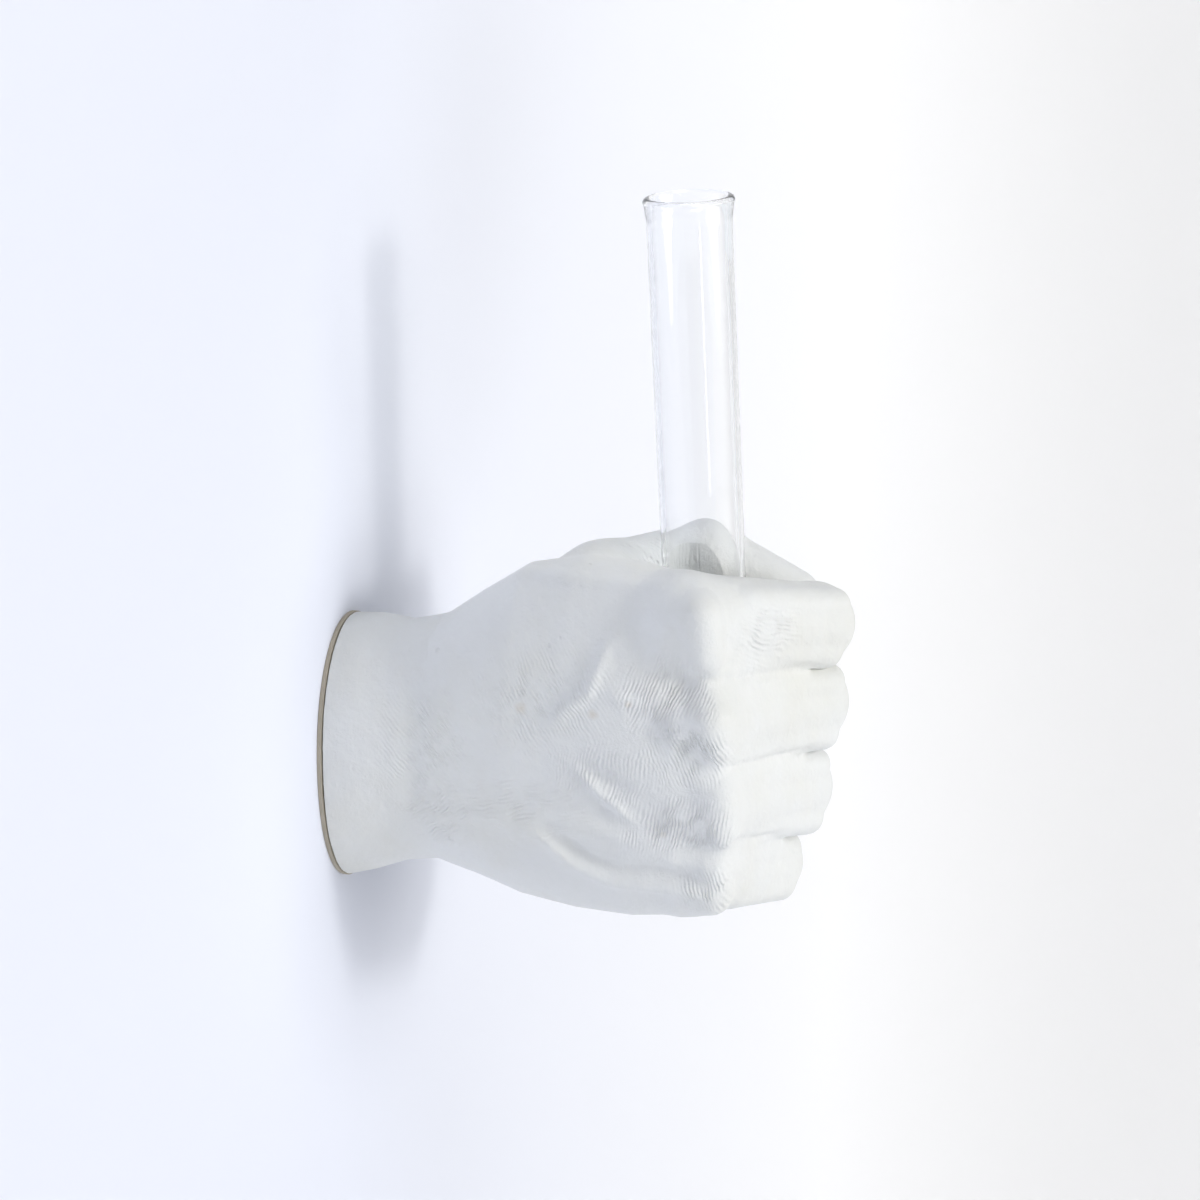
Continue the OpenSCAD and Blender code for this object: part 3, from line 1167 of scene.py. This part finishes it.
@dataclass(frozen=True)
class GlassTube:
    """The round-bottomed glass tube on its leaning axis. Sizes are in millimetres."""

    radius: float = 10.0
    wall: float = 1.2
    length: float = 150.0
    lip_radius: float = 10.7
    bead: float = 1.1
    flare_height: float = 6.0
    flare_rise: float = 4.0
    flare_share: float = 0.75
    neck_drop: float = 0.3
    neck_height: float = 5.0
    lean: float = 3.0
    place: Point = (17.3, -87.7, 0.0)
    bottom: float = -13.0
    socket_gap: float = 0.3
    turns: int = 128
    pole_angle: float = 0.02
    smooth_angle: float = 60.0
    finish: Finish = ClearGlass()

    def axis_turn(self) -> Matrix:
        """The move from an upright tube at the origin to its place in the fist.

        Returns:
            A matrix in metres.
        """
        lean = Matrix.Rotation(math.radians(-self.lean), 4, "X")
        place = Matrix.Translation(Vector(self.place) * MM)
        return place @ lean @ Matrix.Translation((0, 0, self.bottom * MM))

    def outline(self) -> list[tuple[float, float]]:
        """Half section of the glass from the outer bottom over the lip to the inner bottom.

        Returns:
            Radii and heights in millimetres.
        """
        r, bore = self.radius, self.radius - self.wall
        straight_from = r + 8
        flare_from = self.length - self.flare_height
        top = self.length - self.bead
        ring = self.lip_radius - self.bead
        outside, inside = -0.6, math.pi - 0.35
        swell = (ring + 0.87 * self.bead - r) * self.flare_share
        inner = ring - 0.94 * self.bead
        quarter = math.pi / 2
        points = [(r * math.sin(a), r - r * math.cos(a)) for a in np.linspace(self.pole_angle, quarter, 22)]
        points += [(r, z) for z in np.linspace(straight_from, flare_from, 12)]
        points += [
            (r + swell * smooth_step(t), flare_from + self.flare_rise * t) for t in np.linspace(0, 1, 8)[1:-1]
        ]
        points += [
            (ring + self.bead * math.cos(a), top + self.bead * math.sin(a))
            for a in np.linspace(outside, inside, 16)
        ]
        points += [
            (inner + (bore - inner) * smooth_step(t), top - self.neck_drop - self.neck_height * t)
            for t in np.linspace(0, 1, 7)[1:]
        ]
        points += [(bore, z) for z in np.linspace(flare_from - self.flare_height, straight_from, 10)]
        points += [
            (bore * math.sin(a), r - bore * math.cos(a)) for a in np.linspace(quarter, self.pole_angle, 20)
        ]
        return points

    def build(self) -> bpy.types.Object:
        """Spins the outline into the finished tube and dresses it.

        Returns:
            The tube, in the frame's place.
        """
        deselect_all()
        bpy.ops.mesh.primitive_circle_add(vertices=3, radius=MM)
        tube = named("flower_tube")
        mesh = bmesh.new()
        row = [mesh.verts.new((x * MM, 0, z * MM)) for x, z in self.outline()]
        for k in range(len(row) - 1):
            mesh.edges.new((row[k], row[k + 1]))
        mesh.to_mesh(tube.data)
        mesh.free()
        edit_all(tube)
        bpy.ops.mesh.spin(steps=self.turns, angle=math.tau, center=(0, 0, 0), axis=(0, 0, 1))
        bpy.ops.mesh.select_all(action="SELECT")
        bpy.ops.mesh.remove_doubles(threshold=0.02 * MM)
        bpy.ops.object.mode_set(mode="OBJECT")
        close_holes(tube)
        recalculate_normals(tube)
        tube.matrix_world = self.axis_turn()
        settle(tube)
        bpy.ops.object.shade_smooth_by_angle(angle=math.radians(self.smooth_angle))
        self.finish.put_on(tube)
        return tube

    def socket_form(self) -> bpy.types.Object:
        """The form that the tube leaves in the fist.

        Returns:
            A closed form that cuts the socket.
        """
        deselect_all()
        reach = self.radius + self.socket_gap
        bpy.ops.mesh.primitive_uv_sphere_add(segments=96, ring_count=48, radius=reach * MM)
        form = named("socket_form")
        points = vertices_of(form)
        high = points[:, 2] > 1e-6
        points[high, 2] += (self.length - self.radius) * MM
        write_vertices(form, points)
        form.matrix_world = self.axis_turn() @ Matrix.Translation((0, 0, self.radius * MM))
        settle(form)
        recalculate_normals(form)
        return form


@dataclass(frozen=True)
class CastHand:
    """The cast right fist, from its cut at the wrist to its curled fingers. Sizes are in millimetres."""

    fingers: Sequence[Finger] = (
        Finger((-8, -86, 42.4), (27, -109.2, 33.2), (40, -88, 26), (27, -70, 23), (11.6, 9.8, 8.8, 7.6),
               Bone((-15, -91.5, 46.5), (-15.2, -92.5, 37), 5.5, 5.5)),
        Finger((-9, -90, 18.9), (29, -106.9, 12.2), (42, -86.5, 6), (28, -69, 4), (11.2, 10.7, 9.4, 8),
               Bone((-15.2, -94.5, 22), (-15.2, -95, 14.5), 5.4, 5.4)),
        Finger((-8, -91.5, -2), (28, -103.4, -9.9), (40.5, -84.5, -13.5), (27, -69, -13.5),
               (10.9, 10.9, 9.2, 7.8), Bone((-14.4, -96.3, 2), (-14, -96.5, -6), 5.2, 5.2)),
        Finger((-4, -89, -21.5), (25, -99.2, -29.5), (36.5, -81.5, -29.5), (25, -68.5, -27.5),
               (10.7, 8.8, 7.6, 6.8), Bone((-11.2, -94.2, -18), (-9.4, -94, -25), 5, 4.8)),
    )
    thumb_joints: Sequence[Point] = ((6, -31, 19), (15, -60, 39.8), (36, -80, 44), (38.5, -100.5, 34.5))
    thumb_radii: Sequence[float] = (14.5, 12.2, 9.8, 8.4)
    heel: Bone = Bone((5, -36, -11), (9, -80, -20.3), 16, 17)
    grip: Bone = Bone((20, -86, -16), (22, -86, 26), 15, 14)
    flesh: Sequence[Bone] = (
        Bone((37.5, -87, 22), (34.5, -82.5, -26), 8, 6.6),
        Bone((26, -71, 20), (24, -70, -25), 8, 6.8),
        Bone((19, -63, 24), (17, -64, -22), 12, 12.5),
    )
    webs: Sequence[Bone] = (
        Bone((-8, -89, 30.2), (17, -102, 25), 9.6, 8),
        Bone((-9, -91.5, 8.4), (18, -101, 3), 9.4, 8.4),
        Bone((-7, -91, -11.5), (14, -98, -19), 8.8, 7.6),
    )
    palm_sections: Sequence[PalmSection] = (
        PalmSection(8, 0, 0, 21.4, 33.7, 2.1),
        PalmSection(0, 0, 0, 21.4, 33.7, 2.1),
        PalmSection(-7, 0.2, 1.3, 21, 32.9, 2.1),
        PalmSection(-15, 0.2, 2.6, 19.8, 30.9, 2.1),
        PalmSection(-24, 0, 4.2, 19.4, 30.6, 2.2),
        PalmSection(-34, -0.5, 7, 19.6, 35.6, 2.3),
        PalmSection(-46, -1.2, 9.2, 19.8, 41.6, 2.4),
        PalmSection(-60, -1.8, 9.9, 19.2, 44, 2.5),
        PalmSection(-74, -2.4, 9.8, 18.2, 43.8, 2.6),
        PalmSection(-86, -3.2, 10, 16.2, 41.5, 2.6),
        PalmSection(-94, -4.4, 10.4, 12.4, 37, 2.6),
        PalmSection(-99, -5.6, 10.4, 7, 29, 2.4),
    )
    skin_lines: Sequence[SculptLine] = (*VEINS, *TENDONS, *HOLLOWS, *FINGER_GROOVES, WRIST_HOLLOW)
    softness: Softness = Softness()
    pockets: Sequence[KeyholePocket] = (KeyholePocket(14), KeyholePocket(-21))
    plate_thickness: float = 1.0
    wrist_groove: float = 0.8
    wrist_gap: float = 0.4
    ball_step: float = 6.0
    layer_step: float = 5.0
    layer_balls: int = 7
    layer_fill: float = 0.96
    voxel: float = 0.8
    smoothings: Sequence[int] = (6, 3, 3)
    pulls: int = 3
    longest_pull: float = 2.0
    inset: float = 0.2
    relief_depth: float = 1.25
    back_stop: float = 20.8
    stop_softness: float = 0.5
    smooth_angle: float = 50.0
    finish: Finish = PaintedPlaster()

    def section_at(self, y: float | np.ndarray) -> list[np.ndarray]:
        """The oval across the wrist or palm at some distance from the wrist's end.

        Args:
            y: One place or more along the hand, in millimetres.

        Returns:
            Centre in x and z, half width, half height and squareness.
        """
        table = np.array(self.palm_sections)[::-1]
        return [np.interp(y, table[:, 0], table[:, k]) for k in range(1, table.shape[1])]

    def palm_distance(self, x: np.ndarray) -> np.ndarray:
        """Signed distance to the wrist and palm, between their sections.

        Args:
            x: Points in millimetres, one row each.

        Returns:
            One distance per point, negative inside.
        """
        centre_x, centre_z, half_width, half_height, squareness = self.section_at(x[:, 1])
        across, up = x[:, 0] - centre_x, x[:, 2] - centre_z
        oval = np.abs(across / half_width) ** squareness + np.abs(up / half_height) ** squareness
        side = np.hypot(across, up) * (1 - 1 / np.maximum(oval ** (1 / squareness), 1e-3))
        front = self.palm_sections[-1].y - x[:, 1]
        return -blend(-side, -front, self.softness.palm_front)

    def finger_distance(self, x: np.ndarray, finger: Finger) -> np.ndarray:
        """Signed distance to one finger.

        Args:
            x: Points in millimetres, one row each.
            finger: The finger.

        Returns:
            One distance per point, negative inside.
        """
        soft = self.softness
        first, *others = finger.bones()
        form = blend(first.distance(x), finger.cap.distance(x), soft.knuckle_cap)
        for bone in others:
            form = blend(form, bone.distance(x), soft.finger_joint)
        for edge in finger.edges():
            form = blend(form, edge.distance(x), soft.finger_edge)
        return form

    def distance(self, x: np.ndarray) -> np.ndarray:
        """Signed distance to the whole hand.

        Args:
            x: Points in millimetres, one row each.

        Returns:
            One distance per point, negative inside.
        """
        soft = self.softness
        thumb = chain(self.thumb_joints, self.thumb_radii)
        form = blend(self.palm_distance(x), self.heel.distance(x), soft.masses)
        form = blend(form, thumb[0].distance(x), soft.masses)
        form = blend(form, self.grip.distance(x), soft.grip)
        for bar in self.flesh:
            form = blend(form, bar.distance(x), soft.flesh)
        for bar in self.webs:
            form = blend(form, bar.distance(x), soft.webs)
        for finger in self.fingers:
            knuckle = soft.knuckle * nearness(x, finger.knuckle, soft.knuckle_reach)
            form = blend(form, self.finger_distance(x, finger), soft.groove + knuckle)
        tip = blend(thumb[1].distance(x), thumb[2].distance(x), soft.thumb_joint)
        root = soft.thumb_root * nearness(x, self.thumb_joints[1], soft.thumb_reach)
        return blend(form, tip, soft.groove + root)

    def slope(self, x: np.ndarray) -> np.ndarray:
        """Outward direction of the distance field.

        Args:
            x: Points in millimetres, one row each.

        Returns:
            One unit vector per point.
        """
        step, least = 0.05, 1e-9
        rise = [self.distance(x + step * axis) - self.distance(x - step * axis) for axis in np.eye(3)]
        out = np.stack(rise, axis=1)
        return out / np.maximum(np.linalg.norm(out, axis=1), least)[:, None]

    def all_bones(self) -> list[Bone]:
        """Every bone of the hand, the palm's masses included.

        Returns:
            The bones.
        """
        bones = [*chain(self.thumb_joints, self.thumb_radii), self.heel, self.grip, *self.flesh]
        for finger in self.fingers:
            bones += finger.bones()
        return bones

    def rough_out(self) -> bpy.types.Object:
        """Piles up the flesh of the hand and skins it over evenly.

        Returns:
            The rough hand, one closed skin.
        """
        balls = [ball for bone in self.all_bones() for ball in bone.balls(self.ball_step)]
        first, last = self.palm_sections[0].y, self.palm_sections[-1].y + self.ball_step
        for y in np.arange(first, last, -self.layer_step):
            centre_x, centre_z, half_width, half_height, _ = self.section_at(y)
            reach = half_height - half_width
            for z in np.linspace(-reach, reach, self.layer_balls):
                balls.append((np.array([centre_x, y, centre_z + z]), half_width * self.layer_fill))
        deselect_all()
        made = []
        for centre, radius in balls:
            bpy.ops.mesh.primitive_uv_sphere_add(
                segments=20, ring_count=12, radius=radius * MM, location=[c * MM for c in centre]
            )
            made.append(bpy.context.object)
        rough = settle(join(made, "hand_cast"))
        skin = rough.modifiers.new("skin", "REMESH")
        skin.mode = "VOXEL"
        skin.voxel_size = self.voxel * MM
        apply_modifiers(rough)
        return rough

    def even_out(self, hand: bpy.types.Object, times: int) -> None:
        """Smooths the skin's mesh.

        Args:
            hand: The hand.
            times: How often it is smoothed.
        """
        even = hand.modifiers.new("even", "SMOOTH")
        even.factor, even.iterations = 0.5, times
        apply_modifiers(hand)

    def carve(self, hand: bpy.types.Object) -> None:
        """Draws the skin onto the hand's true form, then adds its veins, tendons and creases.

        Args:
            hand: The rough hand, carved in place.
        """
        for times in self.smoothings:
            self.even_out(hand, times)
            x = vertices_of(hand) / MM
            for _ in range(self.pulls):
                off = np.clip(self.distance(x) + self.inset, -self.longest_pull, self.longest_pull)
                x = x - off[:, None] * self.slope(x)
            write_vertices(hand, x * MM)
        move = np.zeros(len(x))
        for line in self.skin_lines:
            move += self.relief_depth * line.rise(x)
        x = x + self.slope(x) * move[:, None]
        past = np.maximum(-x[:, 0] - self.back_stop, 0)
        x[:, 0] += past - self.stop_softness * np.tanh(past / self.stop_softness)
        write_vertices(hand, x * MM)

    def cut_wrist(self, hand: bpy.types.Object) -> None:
        """Cuts the wrist flat behind the plate's line and turns in its shadow groove.

        Args:
            hand: The carved hand, in the drawn place.
        """
        edit_all(hand)
        bpy.ops.mesh.bisect(
            plane_co=(0, -self.wrist_gap * MM, 0), plane_no=(0, 1, 0), use_fill=True, clear_outer=True
        )
        bpy.ops.mesh.inset(thickness=self.wrist_groove * MM, depth=0)
        bpy.ops.mesh.extrude_region_move(TRANSFORM_OT_translate={"value": (0, self.wrist_gap * MM, 0)})
        bpy.ops.object.mode_set(mode="OBJECT")

    def build(self, tube: GlassTube) -> bpy.types.Object:
        """Makes the finished casting and dresses it.

        Args:
            tube: The glass tube that the fist grips.

        Returns:
            The casting, in the frame's place.
        """
        hand = self.rough_out()
        self.carve(hand)
        self.cut_wrist(hand)
        hand.location = (0, -self.plate_thickness * MM, 0)
        settle(hand)
        change_form(hand, tube.socket_form(), Change.TAKE_AWAY)
        for pocket in self.pockets:
            change_form(hand, pocket.cutter(), Change.TAKE_AWAY)
        make_active(hand)
        bpy.ops.object.shade_smooth_by_angle(angle=math.radians(self.smooth_angle))
        self.finish.put_on(hand)
        return hand


@dataclass(frozen=True)
class Fittings:
    """The plate, screws and inserts, which keep the frame's own forms."""

    plate: Finish = PlateSheet()
    screws: Finish = Metal("screw_steel", (0.6, 0.6, 0.62), 0.35)
    inserts: Finish = Metal("insert_brass", (0.72, 0.52, 0.2), 0.3)

    def dress(self, nodes: dict[str, bpy.types.Object]) -> None:
        """Dresses the frame's own pieces.

        Args:
            nodes: The frame's pieces by name.
        """
        finishes = {"back_plate": self.plate, "plate_screws": self.screws, "brass_inserts": self.inserts}
        for name, finish in finishes.items():
            finish.put_on(nodes[name])
            log.info("%s: %d faces", name.replace("_", " "), len(nodes[name].data.polygons))


# The studio


class Ray(Enum):
    """Kinds of ray that a lamp can be hidden from."""

    CAMERA = "visible_camera"
    DIFFUSE = "visible_diffuse"
    TRANSMISSION = "visible_transmission"


def add_light(kind: str, name: str, way: Vector, strength: float, colour: Colour) -> bpy.types.Object:
    """Adds a light.

    Args:
        kind: Its kind, SUN or AREA.
        name: Its name.
        way: The direction that it shines in.
        strength: Its strength.
        colour: Its colour.

    Returns:
        The light.
    """
    deselect_all()
    bpy.ops.object.light_add(type=kind)
    light = bpy.context.object
    light.name = name
    light.rotation_euler = way.to_track_quat("-Z", "Y").to_euler()
    light.data.energy = strength
    light.data.color = colour
    return light


@dataclass(frozen=True)
class Sun:
    """A light from far away, even over the whole wall. A wide angle, in degrees, gives soft shadows."""

    name: str
    way: Point
    angle: float
    strength: float
    colour: Colour

    def add(self) -> None:
        """Adds the light to the scene."""
        sun = add_light("SUN", self.name, Vector(self.way), self.strength, self.colour)
        sun.data.angle = math.radians(self.angle)


@dataclass(frozen=True)
class Lamp:
    """A soft lamp; equal sides make it round. Sizes are in millimetres and the power in watts."""

    name: str
    place: Point
    size: tuple[float, float]
    power: float
    colour: Colour = (1, 1, 1)
    target: Point = (0, -60, 20)
    hidden_from: Sequence[Ray] = ()

    def add(self) -> None:
        """Adds the lamp to the scene."""
        way = Vector(self.target) - Vector(self.place)
        lamp = add_light("AREA", self.name, way, self.power, self.colour)
        lamp.location = [c * MM for c in self.place]
        lamp.data.shape = "DISK" if self.size[0] == self.size[1] else "RECTANGLE"
        lamp.data.size, lamp.data.size_y = (length * MM for length in self.size)
        for ray in self.hidden_from:
            setattr(lamp, ray.value, False)


@dataclass(frozen=True)
class Studio:
    """Camera, lights, wall and floor. Sizes are in millimetres and angles in degrees."""

    camera_place: Point = (-610.41, -246.36, 247.82)
    wall_angle: float = 16.595
    downward: float = 17.823
    lens: float = 85.0
    sensor: float = 36.0
    clip: tuple[float, float] = (10, 60000)
    backdrop_side: float = 40000.0
    wall_gap: float = 0.1
    floor_level: float = -3200.0
    wall: Finish = BackdropWithPaintedLight()
    # The floor glows to the camera with a painted glow, which fades out far to the left of the fist.
    floor: Finish = BackdropWithPaintedLight(
        name="floor_paint_with_painted_glow", near=(0.9, 0.915, 0.95), painted_glow=0.42, painted_light_span=(-9000, -6000), one_sided=False
    )
    sky_colour: Colour = (0.93, 0.96, 1.0)
    sky_on_pieces: float = 0.14
    sky_seen: float = 0.95
    lights: Sequence[Sun | Lamp] = (
        Lamp("key", (-155, -1209, 387), (170, 170), 3.3, (1.0, 0.985, 0.95), hidden_from=(Ray.TRANSMISSION,)),
        Sun("front", (0.05, 1, -0.25), 45, 1.58, (1.0, 0.99, 0.965)),
        Lamp("low", (-700, -700, -900), (700, 700), 3.6, (0.94, 0.97, 1.0)),
        Lamp("high", (-400, -600, 1100), (700, 700), 2.5, (0.94, 0.97, 1.0)),
        Sun("behind", (0.2, -1, -0.4), 60, 0.9, (0.95, 0.97, 1.0)),
        Lamp("strip", (-900, -900, 140), (36, 700), 1.4, target=(22, -92, 100),
             hidden_from=(Ray.CAMERA, Ray.DIFFUSE, Ray.TRANSMISSION)),
    )

    def camera(self) -> None:
        """Sets the camera at the photograph's place and angle."""
        deselect_all()
        bpy.ops.object.camera_add(location=[c * MM for c in self.camera_place])
        camera = bpy.context.object
        camera.name = "camera"
        camera.rotation_euler = (
            math.radians(90 - self.downward), 0, math.radians(self.wall_angle - 90)
        )
        camera.data.lens = self.lens
        camera.data.sensor_width = self.sensor
        camera.data.clip_start, camera.data.clip_end = (length * MM for length in self.clip)
        bpy.context.scene.camera = camera

    def backdrop(self) -> None:
        """Adds the wall behind the fist and the pale floor far below it."""
        side = self.backdrop_side * MM
        deselect_all()
        bpy.ops.mesh.primitive_plane_add(
            size=side, location=(0, self.wall_gap * MM, 0), rotation=(math.pi / 2, 0, 0)
        )
        wall = settle(named("wall"))
        self.wall.put_on(wall)
        bpy.ops.mesh.primitive_plane_add(size=side, location=(0, 0, self.floor_level * MM))
        floor = settle(named("floor"))
        self.floor.put_on(floor)

    def sky(self) -> None:
        """Sets an even sky that is brighter to the camera than to the pieces."""
        world = bpy.data.worlds.new("room_light")
        bpy.context.scene.world = world
        world.use_nodes = True
        sketch = NodeSketch(world.node_tree)
        level = sketch.ranged(sketch.seen_rays(), first=self.sky_on_pieces, last=self.sky_seen)
        sketch.set_inputs(world.node_tree.nodes["Background"], Color=(*self.sky_colour, 1), Strength=level)

    def build(self) -> None:
        """Sets up the whole studio."""
        bpy.context.scene.view_settings.view_transform = "Standard"
        self.camera()
        self.backdrop()
        self.sky()
        for light in self.lights:
            light.add()


def main() -> None:
    """Builds the dressed vase over the fixed frame."""
    logging.basicConfig(level=logging.INFO, format="%(message)s")
    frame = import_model()
    Studio().build()
    tube = GlassTube()
    glass = tube.build()
    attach(glass, "tube")
    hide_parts("glass_tube")
    log.info("glass tube: %d faces", len(glass.data.polygons))
    hand = CastHand().build(tube)
    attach(hand, "wall_fist")
    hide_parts("hand_casting")
    log.info("casting: %d faces", len(hand.data.polygons))
    Fittings().dress(frame["nodes"])


if __name__ == "__main__":
    main()
